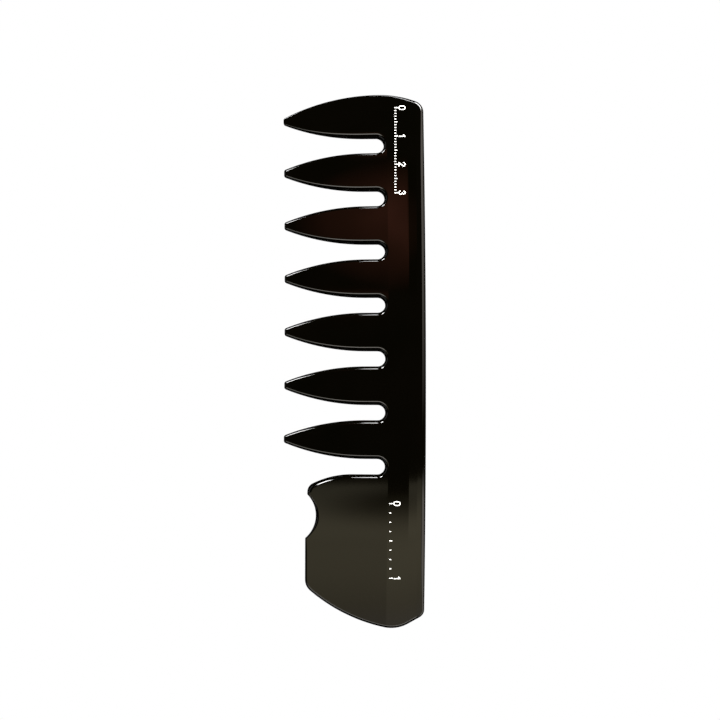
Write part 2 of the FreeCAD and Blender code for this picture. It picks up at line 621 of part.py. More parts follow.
def main():
    doc = FreeCAD.newDocument("RakeComb")
    sheet = make_sheet(doc)
    comb = make_comb(doc, sheet)
    box = comb.Shape.optimalBoundingBox()
    middle_x = (box.XMin + box.XMax) / 2
    comb.Placement.Base = FreeCAD.Vector(-middle_x, -(box.YMin + box.YMax) / 2, sheet.spine_thickness / 2)

    half_length = sheet.overall_length / 2
    last_slot = half_length - sheet.first_slot_drop - (sheet.slot_count - 1) * sheet.tooth_pitch
    cm_scale = make_scale(doc, sheet, "cm_scale_print", CENTIMETRE, 3, 10)
    lay_on_land(cm_scale, -middle_x - sheet.cm_print_setback, half_length - sheet.cm_print_drop,
                sheet.spine_thickness)
    inch_scale = make_scale(doc, sheet, "inch_scale_print", INCH, 1, 8)
    lay_on_land(inch_scale, -middle_x - sheet.inch_print_setback, last_slot - sheet.inch_print_drop,
                sheet.spine_thickness)
    doc.recompute()

    parts = [comb, cm_scale, inch_scale]
    check(doc, parts)
    os.makedirs("parts", exist_ok=True)
    for part in parts:
        part.Shape.exportStep(f"parts/{part.Label}.step")
        size = part.Shape.BoundBox
        print(part.Label, len(part.Shape.Solids), "solids", round(part.Shape.Volume, 2), "mm3",
              [round(v, 3) for v in (size.XMin, size.XMax, size.YMin, size.YMax, size.ZMin, size.ZMax)])


main()
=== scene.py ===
import math

import bmesh
import bpy
from mathutils import Matrix, Vector


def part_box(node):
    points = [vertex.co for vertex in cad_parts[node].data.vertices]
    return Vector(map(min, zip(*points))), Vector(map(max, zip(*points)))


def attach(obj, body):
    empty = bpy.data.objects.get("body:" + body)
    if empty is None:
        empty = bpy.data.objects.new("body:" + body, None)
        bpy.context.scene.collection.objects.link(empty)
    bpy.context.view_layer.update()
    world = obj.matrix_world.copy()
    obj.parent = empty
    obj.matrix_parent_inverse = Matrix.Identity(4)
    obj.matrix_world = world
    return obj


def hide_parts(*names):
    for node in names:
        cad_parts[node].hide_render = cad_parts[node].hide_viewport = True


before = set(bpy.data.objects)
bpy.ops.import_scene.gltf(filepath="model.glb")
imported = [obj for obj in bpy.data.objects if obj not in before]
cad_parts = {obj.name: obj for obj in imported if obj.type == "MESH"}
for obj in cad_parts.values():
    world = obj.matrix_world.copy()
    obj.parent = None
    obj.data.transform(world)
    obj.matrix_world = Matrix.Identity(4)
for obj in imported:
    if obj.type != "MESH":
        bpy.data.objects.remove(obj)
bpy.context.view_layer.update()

MM = 0.001
INSIDE = 0.99997         # keeps the last hair of every curve inside the CAD model's box

# ---------------------------------------------------------------- sizes, in millimetres
# The comb lies flat, its teeth towards -X and its crown towards +Y. x = 0 is the back at mid-length.

BOW = 4900.0             # the back, the creases and the line of the tips all curve about one far centre
WIDTH = 49.0             # back to tooth tips
HALF_LENGTH = 92.3

SLOTS = 7
PITCH = 18.7
FIRST_SLOT = 17.6        # crown to the middle of the first slot
SLOT_HALF = 2.65         # half of a slot's width
SPINE = 14.1             # back to the slots' round ends
FLANK = 4.3              # the straight part of a tooth's side
ROOT = SPINE + SLOT_HALF     # back to the middle of a slot's round end
BEND = ROOT + FLANK      # where a tooth's side starts to curve in
TIP_WIDTH = 2.4          # of a tooth at the line of the tips, before its corners are rounded
TIP_CORNER = 0.9

APEX = 15.9              # back to the crown's highest point
CROWN_RISE = 0.8         # the crown's curve over the middle of the first tip
SHOULDER = 38.0          # the crown's curve towards the back
CROWN_CORNER = 4.0       # where that meets the back

HANDLE_WIDTH = 41.6      # back to the handle's straight side
BROW_START = 25.3        # back to where the handle's upper edge starts to curve down
BROW = 30.0              # that curve
BEAK = 3.2               # the handle's nose above the notch
BEAK_REACH = 40.7        # back to the nose
NOTCH = 10.15            # the finger notch
NOTCH_REACH = 47.85      # back to its centre
NOTCH_DROP = 16.9        # the last slot to its centre
NOTCH_CORNER = 0.6       # both of its ends
HEEL = 5.0               # the corner at the foot of the straight side
BELLY = 58.0             # the long curve from the heel to the toe
BELLY_ANGLE = math.radians(12.0)     # its slope at the toe
TOE = 12.0               # the curve round the lowest point
TOE_SETBACK = 12.1       # back to the lowest point
TAIL_ANGLE = math.radians(28.7)      # the slope from the toe up to the back
TAIL_CORNER = 3.0        # where that meets the back

# Half of the thickness at each distance from the back. The two narrow steps round the creases off.
HALF_THICKNESS = 2.1
SECTION = [
    (0.0, 1.5),
    (2.65, 1.92),
    (2.95, 1.95),
    (5.75, 2.095),
    (6.15, HALF_THICKNESS),
    (13.0, HALF_THICKNESS),
    (WIDTH, 1.0),
]

# How far the rounding of the rim reaches in over each face.
RIM_MOST = 1.9
RIM_STEPS = 10
RIM_BACK = 1.4
BACK_END = 25.0          # the rim of the back narrows over this much of both its ends
RIM_CROWN = 0.35
RIM_SHOULDER = 0.95
RIM_TIP = 0.8
RIM_TOOTH_UNDER = (1.9, 1.25)   # a tooth's edge towards the handle, from the first tooth to the last
RIM_TOOTH_OVER = (0.75, 1.6)     # a tooth's edge towards the crown
RIM_BROW = 1.6
RIM_CORNER = 0.5         # at the two corners of the notch
RIM_NOTCH = 1.3          # in the middle of the notch
RIM_HANDLE = 0.8
RIM_GROWS = (0.1, 0.3)   # shares of the handle's straight side between which its rim grows to that

# How closely the shape is worked out.
CHORD_ERROR = 0.0015     # how far a short straight edge may leave the arc that it stands for
MERGED = 0.01            # points nearer than this are one point
CUT_SNAP = 0.004         # a cut takes a point this near as lying on it
CREASE_SNAP = 0.005      # an edge this near to a crease is part of it
RIM_ANGLE = math.radians(60.0)   # faces that turn from each other by more than this have a rim between them

# ---------------------------------------------------------------- the studio, in metres and degrees

FLOOR_SIZE = 4.0
FLOOR_GAP = 0.0002       # the floor lies this far under the comb

CAMERA_TARGET = (0.00207, -0.00065)
CAMERA_DISTANCE = 0.5574
CAMERA_LEAN = math.radians(4.29)
CAMERA_ROLL = 0.0013     # in radians
CAMERA_LENS = 80.77      # in millimetres, as is the sensor
CAMERA_SENSOR = 36.0
CAMERA_NEAREST = 0.01

SOFTBOX_DISTANCE = 1.5
# Each softbox: its width and height as angles, its azimuth, its tilt and its radiance.
SOFTBOXES = {
    "key_window": ((16.5, 15), -8.7, 37, 28.0),
    "side_window": ((6.0, 15), 28.0, 36, 50.0),
    "shoulder_light": ((26, 26), -42, 50, 40.0),
    "low_fill_crown": ((44, 20), 64, 62, 0.5),
    "low_fill_handle": ((44, 20), 130, 64, 0.5),
}

# Each warm reflector: its place, half of its width and height, and its strength.
WARM_REFLECTORS = {
    "warm_reflector_large": ((0.015, 0.136, 0.56), (0.095, 0.048), 1.15),
    "warm_reflector_upper": ((-0.022, 0.176, 0.565), (0.032, 0.020), 1.1),
    "warm_reflector_lower": ((-0.036, 0.094, 0.565), (0.040, 0.024), 0.8),
}
WARM_PATCH = 0.05        # the size of the patches in their light

BRIGHTEST = 6.0          # the strength that full white on a scrim stands for

SCRIM_HEIGHT = 1.5
SCRIM_EDGE = -0.0443     # the edge above the camera, along Y
SCRIM_DEPTH = 0.8        # from that edge towards the handle
SCRIM_WIDTH = 1.2
# The light of the scrim at distances from its edge above the camera.
SCRIM_LIGHT = [
    (0.0, "#fff0c7", 0.0),
    (0.012, "#fff0c7", 0.01),
    (0.0193, "#fff0c7", 0.08),
    (0.031, "#fff0c7", 0.22),
    (0.037, "#fff0c7", 0.32),
    (0.050, "#fff0c7", 0.68),
    (0.063, "#fff2ca", 0.92),
    (0.085, "#fff2ca", 1.02),
    (0.114, "#fff2ca", 0.97),
    (0.153, "#fff1cb", 0.78),
    (0.195, "#fff4e6", 0.7),
    (0.225, "#fff4e6", 2.2),
    (0.250, "#fffaf2", 5.8),
    (0.600, "#fffaf2", 5.8),
    (0.640, "#fffaf2", 0.3),
    (0.790, "#fffaf2", 0.0),
]
# Over the teeth the scrim is a little dimmer.
DIM_SHARE = 0.82         # its light there, as a share of the full light
DIM_PLACE = -0.04        # up to here along X
FULL_PLACE = 0.03        # and its light is full from here on
# A second, weaker light in the cloth, shaded by what the camera stands on.
STRAY_LIGHT = 0.5
SHADE_PLACE = (0.050, -0.0743)
SHADE_REACH = (0.120, 0.0195)
SHADE_EDGE = (1.03, 1.76)    # where this light starts and where it is full, in shares of that reach
STEM_EDGE = (0.05, 0.10)     # the same beside the stem of the camera's stand, in metres along X
STRAY_EDGE = (0.075, 0.035)  # the same in from the scrim's edge above the camera

SIDE_SCRIM_PLACE = 1.5       # along X
SIDE_SCRIM_FOOT = 0.05
SIDE_SCRIM_HEIGHT = 2.4
SIDE_SCRIM_WIDTH = 3.0
# The light of the cloth beside the comb's back, at places along Y.
SIDE_LIGHT = [
    (-1.5, "#fff6ea", 1.9),
    (-0.08, "#fff6ea", 1.9),
    (-0.04, "#fff6ea", 0.0),
    (0.04, "#fff6ea", 0.0),
    (0.13, "#fff6ea", 0.5),
    (0.28, "#fff6ea", 1.4),
    (0.60, "#fff6ea", 2.3),
    (1.5, "#fff6ea", 2.3),
]


# ---------------------------------------------------------------- drawing

def point(x, y):
    return Vector((x, y, 0.0))


def circles_meet(first, first_radius, second, second_radius, side):
    """The meeting point of two circles, on the left (+1) or right (-1) of the line of centres."""
    apart = second - first
    gap = apart.length
    along = (first_radius ** 2 - second_radius ** 2 + gap ** 2) / (2 * gap)
    across = side * math.sqrt(first_radius ** 2 - along ** 2)
    ahead = apart / gap
    return first + along * ahead + across * point(-ahead.y, ahead.x)


class Pen:
    """Draws an outline as one chain of edges. Each point keeps how wide its rim is rounded."""

    def __init__(self, mesh, start, rim):
        self.mesh = mesh
        self.rims = mesh.verts.layers.float.new("rim")
        self.tip = bmesh.ops.create_vert(mesh, co=start)["vert"][0]
        self.tip[self.rims] = rim

    def line(self, end, rim):
        drawn = bmesh.ops.extrude_vert_indiv(self.mesh, verts=[self.tip])
        self.tip = drawn["verts"][0]
        self.tip.co = end
        self.tip[self.rims] = rim

    def arc(self, centre, towards, rim, clockwise=False):
        """Turns about a centre until the pen stands in the direction of a point."""
        start = self.tip
        first = start.co - centre
        last = towards - centre
        turn = (math.atan2(last.y, last.x) - math.atan2(first.y, first.x)) % math.tau
        if clockwise:
            turn -= math.tau
        steps = 2 * math.ceil(abs(turn) / (4 * math.acos(1 - CHORD_ERROR / first.length)))
        before = set(self.mesh.verts)
        bmesh.ops.spin(self.mesh, geom=[start], cent=centre, axis=(0, 0, 1), angle=turn, steps=steps)
        drawn = [vert for vert in self.mesh.verts if vert not in before]
        for step, vert in enumerate(drawn, start=1):
            eased = (3 - 2 * step / steps) * (step / steps) ** 2
            vert[self.rims] = start[self.rims] + (rim - start[self.rims]) * eased
        self.tip = drawn[-1]


def on_back(rise):
    """The frame that stands on the back, square to the bow, at a distance above mid-length."""
    out = Matrix.Translation((BOW, 0, 0))
    return out.inverted() @ Matrix.Rotation(rise / BOW, 4, "Z") @ out


def share(ends, slot):
    """A value that changes evenly from the first slot to the last."""
    return ends[0] + (ends[1] - ends[0]) * slot / (SLOTS - 1)


def flank_radius():
    """The curve of a tooth's side, which leaves the tip its width."""
    run = WIDTH - BEND
    rise = (PITCH * (1 - WIDTH / BOW) - TIP_WIDTH) / 2 - SLOT_HALF
    return (run ** 2 + rise ** 2) / (2 * rise)


def draw_flank_in(pen, place, rim_tip, rim):
    """A tooth's lower side, from the tip in to the root of the slot below it."""
    radius = flank_radius()
    centre = place @ point(-BEND, SLOT_HALF + radius)
    bow_centre = place @ point(-BOW, 0)
    corner = circles_meet(bow_centre, BOW - WIDTH + TIP_CORNER, centre, radius - TIP_CORNER, -1)
    tip = bow_centre + (corner - bow_centre).normalized() * (BOW - WIDTH)
    pen.line(tip, rim_tip)
    pen.arc(corner, 2 * corner - centre, rim_tip)
    pen.arc(centre, place @ point(-BEND, SLOT_HALF), rim)
    pen.line(place @ point(-ROOT, SLOT_HALF), rim)


def draw_flank_out(pen, place, rim_tip, rim):
    """The next tooth's upper side, from the root of the slot out to the tip."""
    radius = flank_radius()
    centre = place @ point(-BEND, -SLOT_HALF - radius)
    bow_centre = place @ point(-BOW, 0)
    corner = circles_meet(bow_centre, BOW - WIDTH + TIP_CORNER, centre, radius - TIP_CORNER, 1)
    pen.line(place @ point(-BEND, -SLOT_HALF), rim)
    pen.arc(centre, corner, rim_tip)
    pen.arc(corner, bow_centre, rim_tip)


def draw_teeth(pen):
    for slot in range(SLOTS):
        place = on_back(HALF_LENGTH - FIRST_SLOT - PITCH * slot)
        over = share(RIM_TOOTH_OVER, slot)
        draw_flank_in(pen, place, RIM_TIP if slot else RIM_CROWN, share(RIM_TOOTH_UNDER, slot))
        last = slot == SLOTS - 1
        root = place @ point(-ROOT, 0)
        pen.arc(root, place @ point(-ROOT, -SLOT_HALF), RIM_BROW if last else over, clockwise=True)
        if not last:
            draw_flank_out(pen, place, RIM_TIP, over)


def draw_handle(pen):
    """From the last slot round the brow, the finger notch, the heel and the toe to the back."""
    place = on_back(HALF_LENGTH - FIRST_SLOT - PITCH * (SLOTS - 1))
    brow_centre = point(-BROW_START, -SLOT_HALF - BROW)
    beak_x = BEAK - BEAK_REACH
    beak_rise = math.sqrt((BROW - BEAK) ** 2 - (beak_x + BROW_START) ** 2)
    beak_centre = point(beak_x, brow_centre.y + beak_rise)
    notch_centre = point(-NOTCH_REACH, -NOTCH_DROP)
    upper_x = NOTCH_CORNER - BEAK_REACH
    upper_rise = math.sqrt((NOTCH + NOTCH_CORNER) ** 2 - (upper_x + NOTCH_REACH) ** 2)
    upper_corner = point(upper_x, upper_rise - NOTCH_DROP)
    pen.line(place @ point(-BROW_START, -SLOT_HALF), RIM_BROW)
    pen.arc(place @ brow_centre, place @ beak_centre, RIM_BROW)
    pen.arc(place @ beak_centre, place @ point(-BOW, beak_centre.y), RIM_BROW)
    pen.line(place @ point(-BEAK_REACH, (beak_centre.y + upper_corner.y) / 2), RIM_CORNER)
    pen.line(place @ point(-BEAK_REACH, upper_corner.y), RIM_CORNER)
    pen.arc(place @ upper_corner, place @ notch_centre, RIM_CORNER)

    notch = place @ notch_centre
    lower_x = NOTCH_CORNER - HANDLE_WIDTH
    lower_drop = math.sqrt((NOTCH + NOTCH_CORNER) ** 2 - (lower_x - notch.x) ** 2)
    lower_corner = point(lower_x, notch.y - lower_drop)
    pen.arc(notch, notch + point(1, 0), RIM_NOTCH, clockwise=True)
    pen.arc(notch, lower_corner, RIM_CORNER, clockwise=True)
    pen.arc(lower_corner, point(-BOW, lower_corner.y), RIM_CORNER)

    toe_centre = point(-TOE_SETBACK, TOE - HALF_LENGTH)
    belly_centre = toe_centre + (BELLY - TOE) * point(math.sin(BELLY_ANGLE), math.cos(BELLY_ANGLE))
    heel_x = HEEL - HANDLE_WIDTH
    heel_drop = math.sqrt((BELLY - HEEL) ** 2 - (belly_centre.x - heel_x) ** 2)
    heel_centre = point(heel_x, belly_centre.y - heel_drop)
    side = heel_centre.y - lower_corner.y
    pen.line(point(-HANDLE_WIDTH, lower_corner.y + RIM_GROWS[0] * side), RIM_CORNER)
    pen.line(point(-HANDLE_WIDTH, lower_corner.y + RIM_GROWS[1] * side), RIM_HANDLE)
    pen.line(point(-HANDLE_WIDTH, heel_centre.y), RIM_HANDLE)
    pen.arc(heel_centre, 2 * heel_centre - belly_centre, RIM_HANDLE)
    pen.arc(belly_centre, toe_centre, RIM_HANDLE)

    along = point(math.cos(TAIL_ANGLE), math.sin(TAIL_ANGLE))
    outward = point(along.y, -along.x)
    bow_centre = point(-BOW, 0)
    start = toe_centre + (TOE - TAIL_CORNER) * outward
    from_bow = start - bow_centre
    lean = from_bow.dot(along)
    reach = -lean + math.sqrt(lean ** 2 - from_bow.length_squared + (BOW - TAIL_CORNER) ** 2)
    tail_centre = start + reach * along
    pen.arc(toe_centre, toe_centre + outward, RIM_HANDLE)
    pen.line(tail_centre + TAIL_CORNER * outward, RIM_HANDLE)
    pen.arc(tail_centre, 2 * tail_centre - bow_centre, RIM_HANDLE)


def draw_outline(mesh):
    """Counter-clockwise from the crown's highest point: teeth, handle, back and shoulder."""
    bow_centre = point(-BOW, 0)
    apex = point(-APEX, HALF_LENGTH)
    first_tip = HALF_LENGTH - FIRST_SLOT + PITCH / 2
    tip_reach = BOW - WIDTH
    run = BOW - tip_reach * math.cos(first_tip / BOW) - APEX
    drop = HALF_LENGTH - tip_reach * math.sin(first_tip / BOW) - CROWN_RISE
    crown = (run ** 2 + drop ** 2) / (2 * drop)
    crown_centre = apex - point(0, crown)
    tip_corner = circles_meet(bow_centre, tip_reach + TIP_CORNER, crown_centre, crown - TIP_CORNER, 1)
    shoulder_centre = apex - point(0, SHOULDER)
    shoulder_corner = circles_meet(bow_centre, BOW - CROWN_CORNER,
                                   shoulder_centre, SHOULDER - CROWN_CORNER, 1)

    pen = Pen(mesh, apex, RIM_CROWN)
    pen.arc(crown_centre, tip_corner, RIM_CROWN)
    pen.arc(tip_corner, bow_centre, RIM_CROWN)
    draw_teeth(pen)
    draw_handle(pen)
    pen.arc(bow_centre, on_back(BACK_END - HALF_LENGTH) @ point(0, 0), RIM_BACK)
    pen.arc(bow_centre, on_back(HALF_LENGTH - BACK_END) @ point(0, 0), RIM_BACK)
    pen.arc(bow_centre, shoulder_corner, RIM_SHOULDER)
    pen.arc(shoulder_corner, 2 * shoulder_corner - shoulder_centre, RIM_SHOULDER)
    pen.arc(shoulder_centre, apex, RIM_CROWN)


# ---------------------------------------------------------------- the moulding

def straighten(co):
    """Takes a point to where it would lie if the back were straight."""
    return Vector((math.hypot(co.x + BOW, co.y) - BOW, BOW * math.atan2(co.y, co.x + BOW), co.z))


def bow(co):
    """Takes a point of the straight comb to its place on the bowed one."""
    reach = BOW + co.x
    turn = co.y / BOW
    return Vector((reach * math.cos(turn) - BOW, reach * math.sin(turn), co.z))


def half_thickness(from_back):
    """Half of the comb's thickness at a distance from the back, read off the section."""
    for (near, thick), (far, thin) in zip(SECTION, SECTION[1:]):
        if from_back <= far:
            break
    return thick + (thin - thick) * (from_back - near) / (far - near)


def cut(mesh, place, normal):
    """Adds edges all round the moulding where a plane meets it."""
    bmesh.ops.bisect_plane(mesh, geom=mesh.verts[:] + mesh.edges[:] + mesh.faces[:], dist=CUT_SNAP,
                           plane_co=place, plane_no=normal)


def make_blank():
    """A flat blank as thick as the spine, cut to the outline."""
    mesh = bmesh.new()
    draw_outline(mesh)
    bmesh.ops.remove_doubles(mesh, verts=mesh.verts[:], dist=MERGED)
    bmesh.ops.contextual_create(mesh, geom=mesh.edges[:])
    raised = bmesh.ops.extrude_face_region(mesh, geom=mesh.faces[:])
    top = {item for item in raised["geom"] if isinstance(item, bmesh.types.BMVert)}
    for vert in mesh.verts:
        vert.co.z = HALF_THICKNESS if vert in top else -HALF_THICKNESS
    bmesh.ops.recalc_face_normals(mesh, faces=mesh.faces[:])
    return mesh


def round_rims(mesh):
    """Rounds the two rims of a flat blank, each edge by the width its points carry."""
    rims = mesh.verts.layers.float["rim"]
    weights = mesh.edges.layers.float.new("bevel_weight_edge")
    for edge in mesh.edges:
        if edge.calc_face_angle() > RIM_ANGLE:
            if abs(edge.verts[0].co.z - edge.verts[1].co.z) < HALF_THICKNESS:
                edge[weights] = (edge.verts[0][rims] + edge.verts[1][rims]) / 2 / RIM_MOST
    data = bpy.data.meshes.new("blank")
    mesh.to_mesh(data)
    mesh.free()
    blank = bpy.data.objects.new("blank", data)
    bpy.context.collection.objects.link(blank)
    rounding = blank.modifiers.new("rims", "BEVEL")
    rounding.limit_method = "WEIGHT"
    rounding.width = RIM_MOST
    rounding.segments = RIM_STEPS
    rounding.profile = 0.5
    rounding.use_clamp_overlap = False
    rounded = bmesh.new()
    rounded.from_object(blank, bpy.context.evaluated_depsgraph_get())
    bpy.data.objects.remove(blank)
    bpy.data.meshes.remove(data)
    return rounded


def shape_section(mesh):
    """Creases the faces of the straightened comb, thins it to its section, and bows it again."""
    for vert in mesh.verts:
        vert.co = straighten(vert.co)
    creases = [from_back for from_back, _ in SECTION[1:-1]]
    for from_back in creases:
        cut(mesh, (-from_back, 0, 0), (1, 0, 0))
    for slot in range(SLOTS):
        cut(mesh, (0, HALF_LENGTH - FIRST_SLOT - PITCH * slot, 0), (0, 1, 0))
    for edge in mesh.edges:
        for from_back in creases:
            if max(abs(vert.co.x + from_back) for vert in edge.verts) < CREASE_SNAP:
                edge.smooth = False
    for vert in mesh.verts:
        thinned = HALF_THICKNESS - half_thickness(-vert.co.x)
        vert.co.z -= math.copysign(thinned, vert.co.z)
        vert.co = bow(vert.co)
    for face in mesh.faces:
        face.smooth = True


def make_comb(material):
    """The moulding: a flat blank, rounded at its rims and shaped to its section."""
    mesh = round_rims(make_blank())
    shape_section(mesh)

    low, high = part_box("comb")
    middle = (low + high) / 2
    into_frame = Matrix.Translation((high.x, middle.y, middle.z)) @ Matrix.Scale(INSIDE * MM, 4)
    bmesh.ops.transform(mesh, verts=mesh.verts[:], matrix=into_frame)
    data = bpy.data.meshes.new("comb_moulding")
    mesh.to_mesh(data)
    mesh.free()
    data.materials.append(material)
    comb = bpy.data.objects.new("comb_moulding", data)
    bpy.context.collection.objects.link(comb)
    flats = comb.modifiers.new("flats", "WEIGHTED_NORMAL")
    flats.mode = "FACE_AREA"
    flats.keep_sharp = True
    return comb


# ---------------------------------------------------------------- materials

def linear(colour):
    """An sRGB hex colour as linear RGBA."""
    channels = [int(colour[i:i + 2], 16) / 255 for i in (1, 3, 5)]
    return [c / 12.92 if c <= 0.04045 else ((c + 0.055) / 1.055) ** 2.4 for c in channels] + [1.0]


def add(tree, kind, values=None, links=None, **settings):
    """Adds a node with its settings, its sockets' values and what feeds them."""
    node = tree.nodes.new(kind)
    for name, value in settings.items():
        setattr(node, name, value)
    for socket, value in (values or {}).items():
        node.inputs[socket].default_value = value
    for socket, source in (links or {}).items():
        tree.links.new(source, node.inputs[socket])
    return node


def new_material(name):
    """An empty material and its node tree."""
    material = bpy.data.materials.new(name)
    material.use_nodes = True
    tree = material.node_tree
    tree.nodes.clear()
    return material, tree


def moulded_abs():
    """Black ABS from a polished mould.

    The eye gets faces almost as dark as ink that mirror what is overhead, edges that catch the windows as
    bright lines, and reflections that waver a little where the melt flowed and blur a little in places.
    """
    cloud_size, haze_size, flow_size = 22 * MM, 9 * MM, 18 * MM
    material, tree = new_material("moulded_gloss_black_abs")
    where = add(tree, "ShaderNodeTexCoord").outputs["Object"]
    cloud = add(tree, "ShaderNodeTexNoise", {"Scale": 1 / cloud_size, "Detail": 2.0}, {"Vector": where})
    tint = add(tree, "ShaderNodeMix", {"A": linear("#010100"), "B": linear("#030201")},
               {"Factor": cloud.outputs["Fac"]}, data_type="RGBA")
    haze = add(tree, "ShaderNodeTexNoise", {"Scale": 1 / haze_size, "Detail": 3.0}, {"Vector": where})
    gloss = add(tree, "ShaderNodeMapRange", {"To Min": 0.03, "To Max": 0.055}, {"Value": haze.outputs["Fac"]})
    waves = add(tree, "ShaderNodeTexNoise", {"Scale": 1 / flow_size, "Detail": 1.0}, {"Vector": where})
    flow = add(tree, "ShaderNodeBump", {"Strength": 1.0, "Distance": 0.006 * MM},
               {"Height": waves.outputs["Fac"]})
    plastic = add(tree, "ShaderNodeBsdfPrincipled", {"IOR": 1.5},
                  {"Base Color": tint.outputs["Result"], "Roughness": gloss.outputs["Result"],
                   "Normal": flow.outputs["Normal"]})
    add(tree, "ShaderNodeOutputMaterial", links={"Surface": plastic.outputs["BSDF"]})
    return material


def pad_print_ink():
    """White epoxy ink laid on by a pad.

    The eye gets a warm matt white that is a little thinner in places, with a fine dry grain.
    """
    grain_size = 0.5 * MM
    material, tree = new_material("pad_printed_white_ink")
    where = add(tree, "ShaderNodeTexCoord").outputs["Object"]
    cover = add(tree, "ShaderNodeTexNoise", {"Scale": 1 / grain_size, "Detail": 3.0}, {"Vector": where})
    tint = add(tree, "ShaderNodeMix", {"A": linear("#e2e1dc"), "B": linear("#f6f5f1")},
               {"Factor": cover.outputs["Fac"]}, data_type="RGBA")
    grain = add(tree, "ShaderNodeBump", {"Strength": 0.4, "Distance": 0.01 * MM},
                {"Height": cover.outputs["Fac"]})
    ink = add(tree, "ShaderNodeBsdfPrincipled", {"IOR": 1.5, "Roughness": 0.6},
              {"Base Color": tint.outputs["Result"], "Normal": grain.outputs["Normal"]})
    add(tree, "ShaderNodeOutputMaterial", links={"Surface": ink.outputs["BSDF"]})
    return material


def paper_floor():
    """Pale paper.

    The eye gets an even white without shadows; the gloss of the comb gets only a dark grey from it.
    """
    material, tree = new_material("pale_paper")
    seen = add(tree, "ShaderNodeLightPath")
    lit = add(tree, "ShaderNodeEmission", {"Color": linear("#ffffff"), "Strength": 1.0})
    plain = add(tree, "ShaderNodeBsdfDiffuse", {"Color": linear("#202020")})
    both = add(tree, "ShaderNodeMixShader", links={0: seen.outputs["Is Camera Ray"],
                                                   1: plain.outputs["BSDF"], 2: lit.outputs["Emission"]})
    add(tree, "ShaderNodeOutputMaterial", links={"Surface": both.outputs["Shader"]})
    return material


# ---------------------------------------------------------------- the studio

def facing(place, aim):
    """The turn with which the front of a sheet at a place faces a point."""
    return (Vector(aim) - Vector(place)).to_track_quat("Z", "Y").to_euler()


def stage_sheet(name, width, height, place, turn, material):
    """A flat sheet, as part of the stage."""
    mesh = bmesh.new()
    bmesh.ops.create_grid(mesh, x_segments=1, y_segments=1, size=0.5,
                          matrix=Matrix.Diagonal((width, height, 1, 1)))
    data = bpy.data.meshes.new(name)
    mesh.to_mesh(data)
    mesh.free()
    data.materials.append(material)
    sheet = bpy.data.objects.new(name, data)
    bpy.context.collection.objects.link(sheet)
    sheet.location = place
    sheet.rotation_euler = turn
    return sheet


def light_sheet(name, width, height, place, turn, material):
    """A lit sheet, which shows only in the gloss of the comb."""
    sheet = stage_sheet(name, width, height, place, turn, material)
    sheet.visible_camera = False


def softbox(name, size, azimuth, tilt, radiance):
    """A softbox seen from the comb at an azimuth from +Y towards -X and a tilt from straight up."""
    material, tree = new_material(name + "_cloth")
    glow = add(tree, "ShaderNodeEmission", {"Color": linear("#ffffff"), "Strength": radiance})
    add(tree, "ShaderNodeOutputMaterial", links={"Surface": glow.outputs["Emission"]})
    azimuth, tilt = math.radians(azimuth), math.radians(tilt)
    reach = SOFTBOX_DISTANCE * math.sin(tilt)
    place = (-reach * math.sin(azimuth), reach * math.cos(azimuth), SOFTBOX_DISTANCE * math.cos(tilt))
    width, height = [2 * SOFTBOX_DISTANCE * math.tan(math.radians(angle) / 2) for angle in size]
    light_sheet(name, width, height, place, facing(place, (0, 0, 0)), material)


def warm_reflector(name, place, reach, strength):
    """A warm blur overhead, dim and a little patchy, which shows in the gloss of the upper teeth."""
    material, tree = new_material(name)
    where = add(tree, "ShaderNodeTexCoord").outputs["Object"]
    scaled = add(tree, "ShaderNodeMapping", {"Scale": (1 / reach[0], 1 / reach[1], 1)}, {"Vector": where})
    ball = add(tree, "ShaderNodeTexGradient", links={"Vector": scaled.outputs["Vector"]},
               gradient_type="SPHERICAL")
    cloud = add(tree, "ShaderNodeTexNoise", {"Scale": 1 / WARM_PATCH}, {"Vector": where})
    patchy = add(tree, "ShaderNodeMath", links={0: ball.outputs["Fac"], 1: cloud.outputs["Fac"]},
                 operation="MULTIPLY")
    power = add(tree, "ShaderNodeMath", {1: strength}, {0: patchy.outputs["Value"]}, operation="MULTIPLY")
    glow = add(tree, "ShaderNodeEmission", {"Color": linear("#ff977c")}, {"Strength": power.outputs["Value"]})
    add(tree, "ShaderNodeOutputMaterial", links={"Surface": glow.outputs["Emission"]})
    straight_up = facing(place, (place[0], place[1], 1))
    light_sheet(name, 2 * reach[0], 2 * reach[1], place, straight_up, material)


def light_across(tree, along, width, lights):
    """The light of a cloth at a place along it: each entry holds a place, a colour and a strength."""
    share = add(tree, "ShaderNodeMapRange", {"From Min": -width / 2, "From Max": width / 2}, {"Value": along})
    ramp = add(tree, "ShaderNodeValToRGB", links={"Fac": share.outputs["Result"]})
    stops = ramp.color_ramp.elements
    stops.remove(stops[0])
    for step, (place, colour, strength) in enumerate(lights):
        stop = stops.new(place / width + 0.5) if step else stops[0]
        stop.position = place / width + 0.5
        stop.color = [channel * strength / BRIGHTEST for channel in linear(colour)[:3]] + [1.0]
    return ramp.outputs["Color"]


